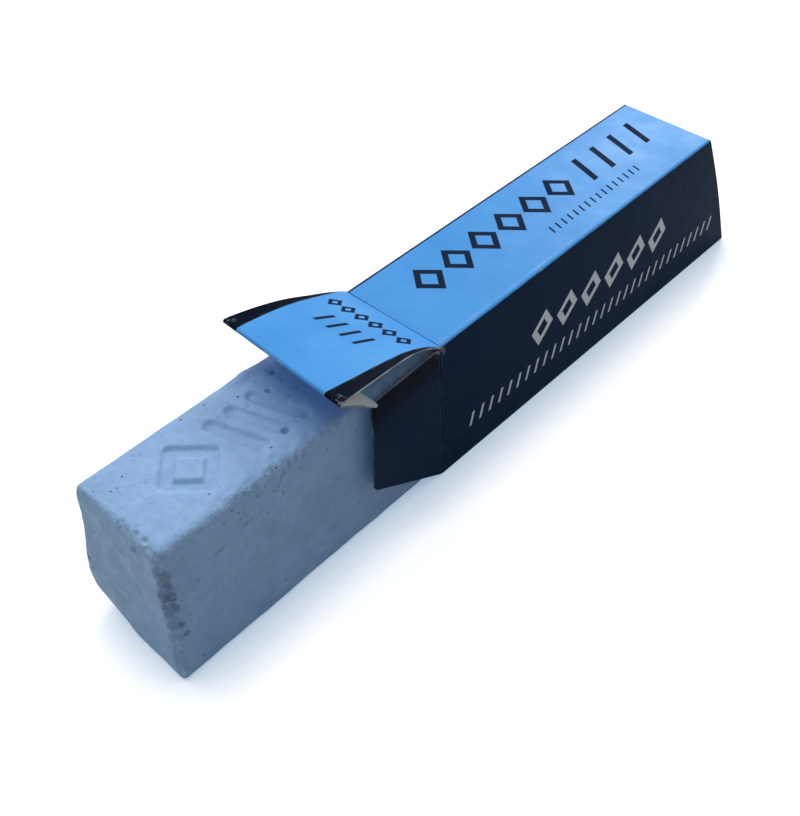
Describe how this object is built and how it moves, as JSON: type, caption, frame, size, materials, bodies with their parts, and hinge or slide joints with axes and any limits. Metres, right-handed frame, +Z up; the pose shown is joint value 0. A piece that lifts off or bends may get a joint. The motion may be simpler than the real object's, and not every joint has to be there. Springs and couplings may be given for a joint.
{
  "type": "buffing compound bar in its carton",
  "caption": "Cast bar of blue-grey buffing compound, rectangular with rounded edges, pushed most of the way out of its tuck-end board carton with the lid flap lifted.",
  "frame": {"origin": "centre of the underside of the bounding box, on the surface the carton lies on", "axes": "+X along the bar and carton towards the carton's closed end, +Y across towards the wall with the glued seam, +Z up through the lid panel"},
  "size_m": [0.1992, 0.0368, 0.0493],
  "materials": {
    "compound": "matt, slightly waxy cast compound",
    "board": "coated folding board, blue on top and near-black on the sides, grey-white inside"
  },
  "bodies": {
    "root": {"compound_bar": "compound", "carton": "board"}
  },
  "joints": []
}
